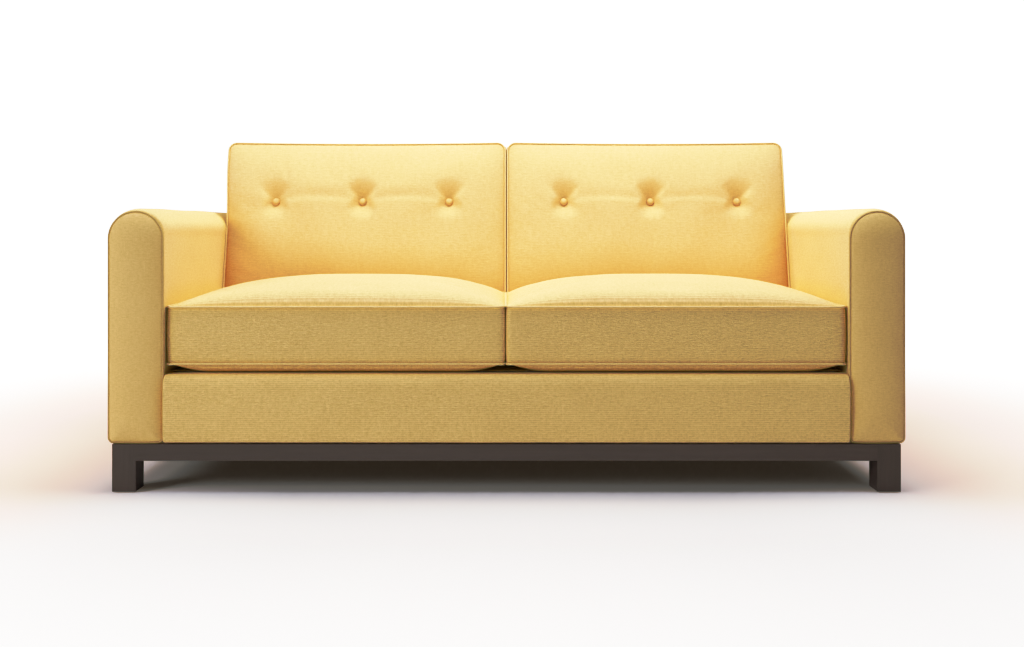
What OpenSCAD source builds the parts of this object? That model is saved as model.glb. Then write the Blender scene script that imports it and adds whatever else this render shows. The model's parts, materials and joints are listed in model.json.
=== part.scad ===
// Two-seat sofa with a dark wooden base, loose seat cushions and loose button-tufted back cushions.
// Millimetres. The origin is on the floor under the middle of the sofa. +X runs to the right of
// someone facing the sofa, -Y is the front and +Z is up.

/* [Overall] */
// Width over the two arms
sofa_w = 1836; // [1780:2:1880]
// Depth from the arm fronts to the outside back
sofa_d = 880; // [870:2:930]
// Height of the arm tops above the floor
arm_h = 655; // [630:1:680]
// Width of one arm
arm_w = 127; // [120:1:136]
// Lean of the back cushions from upright, in degrees
rake = 13; // [10:0.5:15]

/* [Wooden base] */
// Height of the legs below the base rails
leg_drop = 74; // [50:1:120]
// Height of the base rails
rail_h = 38; // [34:1:50]
// Thickness of the base rails
rail_t = 30; // [28:1:34]
// Leg size across the sofa
leg_x = 54; // [50:1:64]
// Leg size front to back
leg_y = 58; // [50:1:64]
// How far the base stands in from the arms' outer sides
base_in_x = 10; // [6:1:12]
// How far the base stands in from the arm fronts and the outside back
base_in_y = 8; // [6:1:14]

/* [Seat cushions] */
// Height of the deck that the cushions rest on
deck_z = 275; // [265:1:285]
// Height of a seat cushion's boxing band, seam to seam
seat_box = 132; // [110:1:140]
// Rise of a seat cushion's top above its top seam
seat_crown = 64; // [40:1:70]
// Fall of a seat cushion's bottom below its bottom seam
seat_belly = 19; // [10:1:20]
// How far the seat cushions stand back from the arm fronts
seat_set_back = 26; // [20:1:34]

/* [Back cushions] */
// Height of the top front seam above the floor
back_top_z = 851; // [830:1:870]
// Thickness of a back cushion's boxing band
back_box = 150; // [130:1:155]
// Rise of a back cushion's front face
back_crown = 28; // [15:1:30]
// Rise of a back cushion's rear face
back_rear_crown = 4; // [2:1:4]
// Number of buttons on each back cushion
button_count = 3; // [2:1:3]
// Distance from one button to the next
button_pitch = 245; // [180:1:250]
// Distance of the buttons below the top front seam
button_drop = 175; // [150:1:220]
// How far each row of buttons stands outwards of its cushion's middle
button_out = 11; // [0:1:20]
// Radius of a button
button_r = 12; // [9:0.5:14]

/* [Hidden] */
$fn = 64;

// Colours
fabric = [0.89, 0.72, 0.36];
welt_fabric = [0.80, 0.62, 0.28];
espresso = [0.20, 0.15, 0.14];
beech = [0.82, 0.68, 0.48];
foam = [0.95, 0.92, 0.80];
steel = [0.62, 0.62, 0.64];
black = [0.10, 0.10, 0.10];

// Levels and planes
glide_h = 3;
glide_r = 14;
nail_r = 1.5;
nail_len = 16;
rail_z = leg_drop;
base_top = leg_drop + rail_h;
front = -sofa_d / 2;
rear = sofa_d / 2;
half_w = sofa_w / 2;
inner = half_w - arm_w;
base_x = half_w - base_in_x;
base_y = rear - base_in_y;
cloth = 2;
board = 25;
seam_gap = 0.3;

// Arm section and frame
arm_foam_t = 10;
arm_r = arm_w / 2;
arm_x = half_w - arm_r;
post_inset = cloth + arm_foam_t + seam_gap;
panel_t = 20;
arm_post_y = front + panel_t;
back_air = 15;
arm_rear_y = rear - back_air - board;
top_rail_y0 = arm_post_y + board;

// Seat frame
spring_z = 240;
low_rail_h = 100;
front_rail_y = arm_post_y;
seat_front_y = front + seat_set_back;
seat_top_seam = deck_z + 1 + seat_belly + seat_box;
seat_x0 = 2.5;
seat_w = inner - 3.5 - seat_x0;

// Back: its own frame has Y square to the cushion's front seam plane and Z up along the lean
back_seam_y = front + 550;
back_ref_z = 430;
back_x0 = 4;
back_w = inner - 2 - back_x0;
back_top = (back_top_z - back_ref_z) / cos(rake);
back_bottom = (deck_z + 1 - back_ref_z) / cos(rake);
cushion_h = back_top - back_bottom;
lining = back_box + back_rear_crown + 2;
webbing_t = 2;
post_front = lining + cloth + 8;
post_depth = 45;
back_rail_z = 770;
back_cover_z = 805;
back_side_z = 600;
seat_d = back_seam_y - (back_ref_z - seat_top_seam + seat_box) * tan(rake) - 6 - seat_front_y;

// World Y of a plane in the back's own frame, at height z
function raked_y(local_y, z) = back_seam_y + local_y / cos(rake) + (z - back_ref_z) * tan(rake);
seat_rear_rail_y = raked_y(lining, deck_z) - 30;

module raked() translate([0, back_seam_y, back_ref_z]) rotate([-rake, 0, 0]) children();
module on_side(side) mirror([side < 0 ? 1 : 0, 0, 0]) children();
module box_at(x, y, z) translate([x[0], y[0], z[0]]) cube([x[1] - x[0], y[1] - y[0], z[1] - z[0]]);

// Extrudes a profile drawn in Y and Z along X, from x0 to x1
module along_x(x0, x1) translate([x0, 0, 0]) rotate([90, 0, 90]) linear_extrude(x1 - x0) children();
// Extrudes a profile drawn in X and Z along Y, from y0 to y1
module along_y(y0, y1) translate([0, y1, 0]) rotate([90, 0, 0]) linear_extrude(y1 - y0) children();

// ---- Wooden base ----

tenon = [22, 12, 26];
screw_r = 3;
screw_head_r = 6;
screw_len = 60;
screw_head_h = 4;
screw_sink = 8;
screw_in = 21;

screw_spots = concat(
    [for (x = [-600, -200, 200, 600], s = [-1, 1]) [x, s * (base_y - screw_in)]],
    [for (s = [-1, 1], y = [-150, 150]) [s * (base_x - rail_t / 2), y]]);

module screw_holes(z0, z1, r) for (p = screw_spots) translate([p[0], p[1], z0]) cylinder(h = z1 - z0, r = r);

// A rail along X with a tenon of length tenon_x on each end
module rail_bar(len, tenon_x, h = rail_h) {
    translate([-len / 2, -rail_t / 2, 0]) cube([len, rail_t, h]);
    translate([-len / 2 - tenon_x, -tenon[1] / 2, (rail_h - tenon[2]) / 2])
        cube([len + 2 * tenon_x, tenon[1], tenon[2]]);
}

module drilled() difference() {
    children();
    screw_holes(rail_z - 1, base_top + 1, screw_r + 0.3);
    screw_holes(rail_z - 1, rail_z + screw_sink, screw_head_r + 0.5);
}

module base_rail_long(side) color(espresso) drilled() difference() {
    translate([0, side * (base_y - rail_t / 2), rail_z]) rail_bar(2 * (base_x - leg_x), tenon[0]);
    translate([-tenon[1] / 2 - 0.2, side * (base_y - rail_t) - 16, rail_z + (rail_h - tenon[2]) / 2 - 0.2])
        cube([tenon[1] + 0.4, 32, tenon[2] + 0.4]);
}

module base_rail_side(side) color(espresso) drilled()
    translate([side * (base_x - rail_t / 2), 0, rail_z]) rotate([0, 0, 90])
        rail_bar(2 * (base_y - leg_y), tenon[0]);

// The stretcher's top stands 2 mm low, under the dust cover
module base_stretcher() color(espresso)
    translate([0, 0, rail_z]) rotate([0, 0, 90]) rail_bar(2 * (base_y - rail_t), 15, rail_h - 2);

module leg(sx, sy) color(espresso) on_side(sx) difference() {
    y0 = sy < 0 ? -base_y : base_y - leg_y;
    box_at([base_x - leg_x, base_x], [y0, y0 + leg_y], [glide_h, base_top]);
    mortise_z = rail_z + (rail_h - tenon[2]) / 2 - 0.2;
    rail_y = sy * (base_y - rail_t / 2);
    translate([base_x - leg_x - 1, rail_y - tenon[1] / 2 - 0.2, mortise_z])
        cube([tenon[0] + 1.5, tenon[1] + 0.4, tenon[2] + 0.4]);
    translate([base_x - rail_t / 2, sy * (base_y - leg_y + tenon[0] / 2), mortise_z + tenon[2] / 2 + 0.2])
        cube([tenon[1] + 0.4, tenon[0] + 1, tenon[2] + 0.4], center = true);
    translate([base_x - leg_x / 2, sy * (base_y - leg_y / 2), 0])
        cylinder(h = glide_h + nail_len + 1, r = nail_r + 0.1);
}

// A nail-on glide under each leg
module glides() color(black) for (sx = [-1, 1], sy = [-1, 1])
    translate([sx * (base_x - leg_x / 2), sy * (base_y - leg_y / 2), 0]) {
        cylinder(h = glide_h, r = glide_r);
        cylinder(h = glide_h + nail_len, r = nail_r);
    }

module base_screws() color(steel) for (p = screw_spots)
    translate([p[0], p[1], rail_z + screw_sink - screw_head_h]) {
    cylinder(h = screw_head_h, r = screw_head_r);
    cylinder(h = screw_len, r = screw_r);
}

// ---- Hardwood frame ----

dowel_r = 5;
dowel_len = 60;
long_x = inner + post_inset;
side_rail_x = [half_w - 15 - board, half_w - 15];
spring_sag = 8;
block_leg = 60;
top_rail_w = 60;
top_rail_z = [arm_h - 46, arm_h - 24];

// Dowels that join each long rail's ends: Y centre of the rail, its end's X and two heights
dowel_joints = [[front_rail_y + board / 2, long_x, [150, 205]], [arm_rear_y + board / 2, long_x, [140, 185]]];

module dowel_set(r, len) for (j = dowel_joints, s = [-1, 1], z = j[2])
    translate([s * j[1], j[0], z]) rotate([0, 90, 0]) cylinder(h = len, r = r, center = true);
module dowelled() difference() {
    children();
    dowel_set(dowel_r + 0.1, dowel_len + 2);
    screw_holes(base_top - 1, rail_z + screw_sink + screw_len + 2, screw_r + 0.05);
}

module frame_front_rail() color(beech) dowelled()
    box_at([-long_x, long_x], [front_rail_y, front_rail_y + board], [base_top, spring_z]);
module frame_rear_rail() color(beech) dowelled()
    box_at([-long_x, long_x], [arm_rear_y, arm_rear_y + board], [base_top, base_top + low_rail_h]);
module frame_seat_rear_rail() color(beech)
    box_at([-side_rail_x[0], side_rail_x[0]], [seat_rear_rail_y, seat_rear_rail_y + board],
           [spring_z - low_rail_h, spring_z]);
module frame_centre_rail() color(beech)
    box_at([-board / 2, board / 2], [front_rail_y + board, seat_rear_rail_y],
           [spring_z - low_rail_h, spring_z - spring_sag]);
module frame_side_rail(side) color(beech) dowelled() on_side(side)
    box_at(side_rail_x, [top_rail_y0, arm_rear_y], [base_top, base_top + low_rail_h]);

// The arm's section: straight sides and a half-round top, all drawn in by inset
module arch(inset) {
    translate([arm_x - arm_r + inset, base_top]) square([arm_w - 2 * inset, arm_h - arm_r - base_top]);
    translate([arm_x, arm_h - arm_r]) circle(r = arm_r - inset);
}
// The same section with its foot let down by 5 mm, for cutting an open bottom
module arch_open(inset) {
    arch(inset);
    translate([arm_x - arm_r + inset, base_top - 5]) square([arm_w - 2 * inset, 20]);
}

module arm_post(side, y0) color(beech) dowelled() on_side(side) along_y(y0, y0 + board) arch(post_inset);
module arm_top_rail(side) color(beech) on_side(side)
    box_at([arm_x - top_rail_w / 2, arm_x + top_rail_w / 2], [top_rail_y0, arm_rear_y], top_rail_z);

back_post_xs = [-inner + back_air + board / 2, 0, inner - back_air - board / 2];
module back_post(i) color(beech) along_x(back_post_xs[i] - board / 2, back_post_xs[i] + board / 2) polygon([
    [seat_rear_rail_y + board, base_top], [seat_rear_rail_y + board + post_depth, base_top],
    [raked_y(post_front, spring_z) + post_depth, spring_z],
    [raked_y(post_front, back_rail_z) + post_depth, back_rail_z],
    [raked_y(post_front, back_rail_z), back_rail_z], [raked_y(post_front, spring_z), spring_z],
    [seat_rear_rail_y + board, spring_z - 10]]);
module back_top_rail() color(beech)
    box_at([-inner + back_air, inner - back_air], [raked_y(post_front, back_rail_z), rear - back_air],
           [back_rail_z, back_rail_z + board]);

// Triangular glue blocks in the four inner corners of the seat frame
module corner_blocks() color(beech) for (s = [-1, 1]) on_side(s)
    translate([side_rail_x[0], 0, spring_z - low_rail_h]) linear_extrude(block_leg)
        for (corner = [[top_rail_y0, 1], [seat_rear_rail_y, -1]]) translate([0, corner[0]])
            polygon([[0, 0], [-block_leg, 0], [0, corner[1] * block_leg]]);

module frame_dowels() color(beech) dowel_set(dowel_r, dowel_len);

// ---- Springs and webbing ----

spring_xs = [for (i = [0:7]) (i - 3.5) * 195];
wire = 3.6;
spring_y0 = front_rail_y + 12;
spring_y1 = seat_rear_rail_y + 13;
loops = 20;
loop_w = 48;
loop_pitch = (spring_y1 - spring_y0) / loops;

// Centre line of a zigzag spring: a row of half loops, each with its round end
function zigzag() = [for (i = [0:loops - 1], a = [-60:40:60])
    let (side = i % 2 == 0 ? 1 : -1)
    [side * (loop_w / 2 - loop_pitch / 2 + loop_pitch / 2 * cos(a)),
     spring_y0 + (i + 0.5 + 0.48 * sin(a)) * loop_pitch]];
function normal(p, i) =
    let (a = p[max(i - 1, 0)], b = p[min(i + 1, len(p) - 1)], d = b - a) [-d[1], d[0]] / norm(d);
function edge(p, off) = [for (i = [0:len(p) - 1]) p[i] + off * normal(p, i)];
function reversed(p) = [for (i = [len(p) - 1:-1:0]) p[i]];

module seat_springs() color(steel) for (x = spring_xs) translate([x, 0, spring_z + 1.4]) {
    line = zigzag();
    linear_extrude(wire) polygon(concat(edge(line, wire / 2), reversed(edge(line, -wire / 2))));
}

// A folded clip at each end of each spring
module spring_clips() color(steel) for (x = spring_xs, e = [0, 1])
    translate([x, e == 0 ? spring_y0 : spring_y1, 0]) mirror([0, e, 0])
        along_x(e == 0 ? 10 : -22, e == 0 ? 22 : -10) polygon([
            [-8, spring_z], [10, spring_z], [10, spring_z + 1.2], [-6.8, spring_z + 1.2],
            [-6.8, spring_z + 5.2], [10, spring_z + 5.2], [10, spring_z + 6.4], [-8, spring_z + 6.4]]);

// Elastic straps across the back posts, and upright ones in front of them
strap_w = 60;
strap_zs = [-30, 90, 210];
strap_xs = [-570, -370, -170, 170, 370, 570];
strap_reach = [-150, 330];
module back_webbing() color(foam) raked() {
    for (z = strap_zs)
        box_at([-inner + back_air, inner - back_air], [post_front - webbing_t, post_front],
               [z - strap_w / 2, z + strap_w / 2]);
    translate([0, -webbing_t - 0.2, 0]) for (x = strap_xs)
        box_at([x - strap_w / 2, x + strap_w / 2], [post_front - webbing_t, post_front], strap_reach);
}

// ---- Fixed upholstery ----

border_y = front + 4;
border_r = 22;
border_depth = 56;
pad_z0 = 248;

// Section of the padded front border, drawn in by inset and carried past its rear edge
module border_section(inset, past = 0) {
    y0 = border_y + inset;
    y1 = border_y + border_depth + past;
    r = border_r - inset;
    translate([y0, base_top + inset]) square([r, deck_z - border_r - base_top - inset]);
    translate([y0 + r, base_top + inset]) square([y1 - y0 - r, deck_z - inset - base_top - inset]);
    translate([y0 + r, deck_z - border_r]) circle(r = r);
}

module front_border_cover() color(fabric) difference() {
    along_x(-inner + 0.5, inner - 0.5) border_section(0);
    along_x(-inner - 1, inner + 1) {
        border_section(cloth, 5);
        translate([border_y + cloth, base_top - 5]) square([border_depth + 3, 20]);
    }
}

module front_border_foam() color(foam) difference() {
    along_x(-inner + 1, inner - 1) border_section(cloth + seam_gap);
    box_at([-inner - 5, inner + 5], [front_rail_y - seam_gap, border_y + border_depth + 5],
           [base_top - 5, spring_z + 7.5]);
}

deck_cloth_t = 1.5;
deck_y = [border_y + border_depth + 0.5, seat_rear_rail_y + 21];
module deck_pad() color(foam)
    box_at([-inner + 2, inner - 2], [deck_y[0] + 0.5, deck_y[1] - 1],
           [pad_z0, deck_z - deck_cloth_t - seam_gap]);
module deck_cloth() color(welt_fabric)
    box_at([-inner + 1, inner - 1], deck_y, [deck_z - deck_cloth_t, deck_z]);

welt_r = 2.5;
welt_y = front + 14;
panel_inset = 2 * welt_r + 0.2;
panel_round = 260;

// The opening in an arm's inner side, under the deck, where the rails pass through
module rail_slot() box_at([0, arm_x - 20], [front - 5, arm_rear_y + board + 1], [base_top - 5, spring_z + 8]);

module arm_foam(side) color(foam) on_side(side) difference() {
    along_y(arm_post_y + 0.5, rear - 4.5) arch(cloth + seam_gap);
    along_y(arm_post_y - 1, arm_rear_y + board + seam_gap) arch_open(post_inset - seam_gap);
    rail_slot();
}

module arm_cover(side) color(fabric) on_side(side) difference() {
    along_y(welt_y + welt_r, rear - 2) arch(0);
    along_y(front - 5, rear - 4) arch_open(cloth);
    rail_slot();
}

// The padded facing on the front of an arm
module arm_panel(side) color(fabric) on_side(side) intersection() {
    along_y(front, arm_post_y) arch(panel_inset);
    translate([arm_x, front + panel_round, 0]) cylinder(h = arm_h, r = panel_round, $fn = 160);
}

// The welt cord round each arm facing: two uprights and a half-round top
module arm_welts() color(welt_fabric) for (s = [-1, 1]) on_side(s) {
    ring = arm_r - welt_r;
    for (x = [-ring, ring]) translate([arm_x + x, welt_y, base_top])
        cylinder(h = arm_h - arm_r - base_top, r = welt_r);
    translate([arm_x, welt_y, arm_h - arm_r]) rotate([90, 0, 0])
        rotate_extrude(angle = 180) translate([ring, 0]) circle(r = welt_r);
}

// Section of the cloth over the back: a leaning inside, a flat top and an upright outside
back_foot_z = deck_z - 20;
module back_cloth() polygon([
    [raked_y(lining, back_foot_z), back_foot_z], [raked_y(lining, back_cover_z), back_cover_z],
    [rear, back_cover_z], [rear, base_top], [rear - cloth, base_top], [rear - cloth, back_cover_z - cloth],
    [raked_y(lining, back_cover_z - cloth) + cloth, back_cover_z - cloth],
    [raked_y(lining, back_foot_z) + cloth, back_foot_z]]);
// The end panels that close the back above the arms
module back_end() polygon([
    [raked_y(lining, back_side_z), back_side_z], [raked_y(lining, back_cover_z), back_cover_z],
    [rear, back_cover_z], [rear, back_side_z]]);

module back_cover() color(fabric) {
    along_x(-inner + 1, inner - 1) back_cloth();
    for (s = [-1, 1]) on_side(s) along_x(inner - 1 - cloth, inner - 1) back_end();
}

// The cloth stapled under the frame, inside the base rails and notched round the legs
module dust_cover() color(black) difference() {
    half_x = base_x - rail_t - 2;
    half_y = base_y - rail_t - 2;
    box_at([-half_x, half_x], [-half_y, half_y], [base_top - 1.2, base_top - 0.2]);
    for (sx = [-1, 1], sy = [-1, 1])
        translate([sx * (base_x - leg_x / 2), sy * (base_y - leg_y / 2), base_top])
        cube([leg_x + 6, leg_y + 6, 10], center = true);
}

// ---- Loose cushions ----

// A boxed cushion, w by d with its bottom seam at z 0 and its top seam at t, crowned top and bottom.
// Each crown is a large-radius arc across the cushion and another along it. The seams draw in by inset.
// The arc across reaches its springing just past the sides, so the two arcs never meet in a corner.
arc_past = 3;
function arc_r(half, rise) = (half * half + rise * rise) / (2 * rise);
module crown_limit(w, d, rise) intersection() {
    across = arc_r(w / 2 + arc_past, rise);
    along = arc_r(d / 2, rise);
    translate([0, 0, rise - across]) rotate([90, 0, 0])
        cylinder(h = 2 * d, r = across, center = true, $fn = 256);
    translate([0, 0, rise - along]) rotate([0, 90, 0])
        cylinder(h = 2 * w, r = along, center = true, $fn = 256);
}
module pillow(w, d, t, top, belly, inset) intersection() {
    translate([inset - w / 2, inset - d / 2, -belly]) cube([w - 2 * inset, d - 2 * inset, t + top + belly]);
    translate([0, 0, t - inset]) crown_limit(w - 2 * inset, d - 2 * inset, top);
    translate([0, 0, inset]) mirror([0, 0, 1]) crown_limit(w - 2 * inset, d - 2 * inset, belly);
}

// Seat cushion
seat_rear_y = seat_front_y + seat_d;
zip_x = seat_x0 + seat_w / 2;
zip_z = deck_z + 1 + seat_belly + seat_box / 2;
zip_len = 620;
zip_w = 18;
zip_depth = 6;
zip_tape_t = 1.2;
chain_w = 5;
chain_t = 1.2;
slider = [12, 4, 10];

module seat_form(inset) translate([seat_x0 + seat_w / 2, seat_front_y + seat_d / 2, deck_z + 1 + seat_belly])
    pillow(seat_w, seat_d, seat_box, seat_crown, seat_belly, inset);
// The sunk channel along the rear boxing that holds the zip, grown by grow
module zip_channel(grow) translate([zip_x, seat_rear_y, zip_z])
    cube([zip_len + 2 * grow, 2 * (zip_depth + grow), zip_w + 2 * grow], center = true);

module seat_cover(side) color(fabric) on_side(side) difference() {
    seat_form(0);
    difference() {
        seat_form(cloth);
        zip_channel(cloth);
    }
    zip_channel(0);
}
module seat_core(side) color(foam) on_side(side) difference() {
    seat_form(cloth + seam_gap);
    zip_channel(cloth + seam_gap);
}
module seat_zip(side) color(welt_fabric) on_side(side) translate([zip_x, seat_rear_y - zip_depth, zip_z]) {
    box_at([-zip_len / 2 + 0.5, zip_len / 2 - 0.5], [0, zip_tape_t], [-zip_w / 2 + 0.3, zip_w / 2 - 0.3]);
    box_at([-zip_len / 2 + 6, zip_len / 2 - 6], [zip_tape_t, zip_tape_t + chain_t],
           [-chain_w / 2, chain_w / 2]);
}
// The slider stands at the closed end, next to the middle of the sofa
module seat_zip_slider(side) color(steel) on_side(side)
    translate([zip_x - zip_len / 2 + 4, seat_rear_y - zip_depth + zip_tape_t + 0.3, zip_z]) difference() {
        box_at([0, slider[0]], [0, slider[1]], [-slider[2] / 2, slider[2] / 2]);
        box_at([-1, slider[0] + 1], [-1, chain_t + 0.1], [-chain_w / 2 - 0.3, chain_w / 2 + 0.3]);
    }

// Back cushion, in the back's own frame
dent_r = 45;
dent_floor = -2;
rear_dent = back_box - 4;
button_t = 5;
dome = 4;
twine_r = 1.2;
button_z = back_top - button_drop;
button_xs = [for (i = [0:button_count - 1])
    back_x0 + back_w / 2 + button_out + (i - (button_count - 1) / 2) * button_pitch];

module at_buttons() for (x = button_xs) translate([x, 0, button_z]) children();
module along_local_y(y0, y1, r) translate([0, y0, 0]) rotate([-90, 0, 0]) cylinder(h = y1 - y0, r = r);

module back_form(inset) intersection() {
    raked() translate([back_x0 + back_w / 2, back_box, (back_top + back_bottom) / 2]) rotate([90, 0, 0])
        pillow(back_w, cushion_h, back_box, back_crown, back_rear_crown, inset);
    box_at([0, inner], [0, rear], [deck_z + 1 + inset, 1000]);
}
// Dimples in front of and behind the buttons, grown by grow, and the holes for their twine
module tuft_dents(grow) raked() at_buttons() {
    translate([0, dent_floor - dent_r, 0]) sphere(r = dent_r + grow);
    along_local_y(rear_dent - grow, back_box + 40, button_r + 2 + grow);
}
module twine_holes() raked() at_buttons() along_local_y(-30, back_box + 10, twine_r + 0.3);

module back_cushion_cover(side) color(fabric) on_side(side) difference() {
    back_form(0);
    difference() {
        back_form(cloth);
        tuft_dents(cloth);
    }
    tuft_dents(0);
    twine_holes();
}
module back_cushion_core(side) color(foam) on_side(side) difference() {
    back_form(cloth + seam_gap);
    tuft_dents(cloth + seam_gap);
    twine_holes();
}
// Covered buttons in front, flat buttons behind and the twine that ties each pair
module back_cushion_tufting(side) color(fabric) on_side(side) raked() at_buttons() {
    back_face = dent_floor - 2;
    front_face = back_face - button_t;
    dome_r = arc_r(button_r, dome);
    along_local_y(front_face, back_face, button_r);
    intersection() {
        translate([0, front_face - dome + dome_r, 0]) sphere(r = dome_r);
        along_local_y(front_face - dome - 1, front_face, button_r);
    }
    along_local_y(back_face - 1, rear_dent + 1, twine_r);
    along_local_y(rear_dent + 0.3, rear_dent + 3, button_r);
}

base_rail_long(-1);  // base_rail_front
base_rail_long(1);  // base_rail_rear
base_rail_side(-1);  // base_rail_left
base_rail_side(1);  // base_rail_right
base_stretcher();
leg(-1, -1);  // leg_front_left
leg(1, -1);  // leg_front_right
leg(-1, 1);  // leg_rear_left
leg(1, 1);  // leg_rear_right
glides();
base_screws();
frame_front_rail();
frame_seat_rear_rail();
frame_rear_rail();
frame_centre_rail();
frame_side_rail(-1);  // frame_side_rail_left
frame_side_rail(1);  // frame_side_rail_right
arm_post(-1, arm_post_y);  // arm_front_post_left
arm_post(1, arm_post_y);  // arm_front_post_right
arm_post(-1, arm_rear_y);  // arm_rear_post_left
arm_post(1, arm_rear_y);  // arm_rear_post_right
arm_top_rail(-1);  // arm_top_rail_left
arm_top_rail(1);  // arm_top_rail_right
back_post(0);  // back_post_left
back_post(1);  // back_post_centre
back_post(2);  // back_post_right
back_top_rail();
corner_blocks();
frame_dowels();
seat_springs();
spring_clips();
back_webbing();
deck_pad();
deck_cloth();
front_border_foam();
front_border_cover();
arm_foam(-1);  // arm_foam_left
arm_foam(1);  // arm_foam_right
arm_cover(-1);  // arm_cover_left
arm_cover(1);  // arm_cover_right
arm_panel(-1);  // arm_panel_left
arm_panel(1);  // arm_panel_right
arm_welts();
back_cover();
dust_cover();
seat_cover(-1);  // seat_cover_left
seat_cover(1);  // seat_cover_right
seat_core(-1);  // seat_core_left
seat_core(1);  // seat_core_right
seat_zip(-1);  // seat_zip_left
seat_zip(1);  // seat_zip_right
seat_zip_slider(-1);  // seat_zip_slider_left
seat_zip_slider(1);  // seat_zip_slider_right
back_cushion_cover(-1);  // back_cushion_cover_left
back_cushion_cover(1);  // back_cushion_cover_right
back_cushion_core(-1);  // back_cushion_core_left
back_cushion_core(1);  // back_cushion_core_right
back_cushion_tufting(-1);  // back_cushion_tufting_left
back_cushion_tufting(1);  // back_cushion_tufting_right
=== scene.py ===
# A sofa with loose cushions on a dark wooden base: the looks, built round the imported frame. Metres.
import bmesh
import bpy
import json
import math
import numpy as np
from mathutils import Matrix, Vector


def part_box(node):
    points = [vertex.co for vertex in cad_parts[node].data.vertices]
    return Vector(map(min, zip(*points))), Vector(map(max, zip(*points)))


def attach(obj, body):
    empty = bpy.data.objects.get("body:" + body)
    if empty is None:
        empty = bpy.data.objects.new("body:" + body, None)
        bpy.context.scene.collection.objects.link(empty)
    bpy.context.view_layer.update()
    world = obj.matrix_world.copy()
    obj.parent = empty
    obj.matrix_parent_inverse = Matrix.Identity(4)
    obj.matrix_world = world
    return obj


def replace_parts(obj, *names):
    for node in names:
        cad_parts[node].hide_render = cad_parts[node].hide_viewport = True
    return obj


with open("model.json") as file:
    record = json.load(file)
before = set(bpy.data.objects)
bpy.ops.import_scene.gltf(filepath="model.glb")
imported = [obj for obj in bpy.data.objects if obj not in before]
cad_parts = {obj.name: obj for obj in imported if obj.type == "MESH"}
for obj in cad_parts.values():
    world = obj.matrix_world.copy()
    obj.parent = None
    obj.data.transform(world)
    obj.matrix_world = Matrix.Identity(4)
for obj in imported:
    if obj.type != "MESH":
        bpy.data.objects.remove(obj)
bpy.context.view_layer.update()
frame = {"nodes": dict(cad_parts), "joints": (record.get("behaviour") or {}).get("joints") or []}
nodes = frame["nodes"]
scene = bpy.context.scene
SIDES = (("left", -1), ("right", 1))

def node_points(name):
    """The corners of a CAD node's mesh, as rows of x, y, z."""
    return np.array([v.co for v in nodes[name].data.vertices], float)

# ---- Places taken from the frame ----

LEAN = math.atan2(*next(j["axis"] for j in frame["joints"] if j["name"] == "back_cushion_right_lift")[1:])
ARM_LO, ARM_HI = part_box("arm_cover_right")
PANEL_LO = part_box("arm_panel_right")[0]
SEAT_LO, SEAT_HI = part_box("seat_cover_right")
BACK_LO, BACK_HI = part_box("back_cushion_cover_right")
BORDER_LO, BORDER_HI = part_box("front_border_cover")
SHELL_LO, SHELL_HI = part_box("back_cover")
DECK_LO, DECK_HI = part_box("deck_cloth")
PAD_LO, PAD_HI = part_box("deck_pad")
DUST_LO, DUST_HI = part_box("dust_cover")
TUFT_LO, TUFT_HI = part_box("back_cushion_tufting_right")
ZIP_LO, ZIP_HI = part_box("seat_zip_right")
LEG_LO, LEG_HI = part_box("leg_front_right")
INNER = ARM_LO.x
FRONT = PANEL_LO.y
FOOT = ARM_LO.z

SEAT_W, SEAT_D = SEAT_HI.x - SEAT_LO.x, SEAT_HI.y - SEAT_LO.y
SEAT_X = (SEAT_LO.x + SEAT_HI.x) / 2
SEAT_BOX, SEAT_BELLY = 0.132, 0.019
SEAT_LOW = SEAT_LO.z + SEAT_BELLY

BACK_W, BACK_X = BACK_HI.x - BACK_LO.x, (BACK_LO.x + BACK_HI.x) / 2
BACK_T, BACK_CROWN = 0.150, 0.030
back_corners = node_points("back_cushion_cover_right")
TOP_SEAM_Y = back_corners[back_corners[:, 2] > BACK_HI.z - 0.0005][:, 1].min()
BACK_TOP = 0.43
# The back cushions' own frame: x across, y square to the front seam plane, z up the lean
LEAN_ORIGIN = np.array([0.0, TOP_SEAM_Y - BACK_TOP * math.sin(LEAN), BACK_HI.z - BACK_TOP * math.cos(LEAN)])
LEAN_Y = np.array([0.0, math.cos(LEAN), -math.sin(LEAN)])
LEAN_Z = np.array([0.0, math.sin(LEAN), math.cos(LEAN)])
BACK_FOOT = -(LEAN_ORIGIN[2] - BACK_LO.z) / math.cos(LEAN)

def from_lean(p):
    """Points in the back cushions' own frame, moved into the sofa's frame."""
    p = np.asarray(p, float)
    return LEAN_ORIGIN + p[..., :1] * np.array([1.0, 0, 0]) + p[..., 1:2] * LEAN_Y + p[..., 2:3] * LEAN_Z

def to_lean(p):
    """Points in the sofa's frame, moved into the back cushions' own frame."""
    q = np.asarray(p, float) - LEAN_ORIGIN
    return np.stack([q[..., 0], q @ LEAN_Y, q @ LEAN_Z], -1)

BUTTON_R = 0.012
BUTTON_XS = [TUFT_LO.x + BUTTON_R, (TUFT_LO.x + TUFT_HI.x) / 2, TUFT_HI.x - BUTTON_R]
BUTTON_UP = to_lean(node_points("back_cushion_tufting_right"))[:, 2].mean()
BUTTON_BACK, REAR_BUTTON = -0.004, 0.1463

# ---- Mesh making ----

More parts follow.
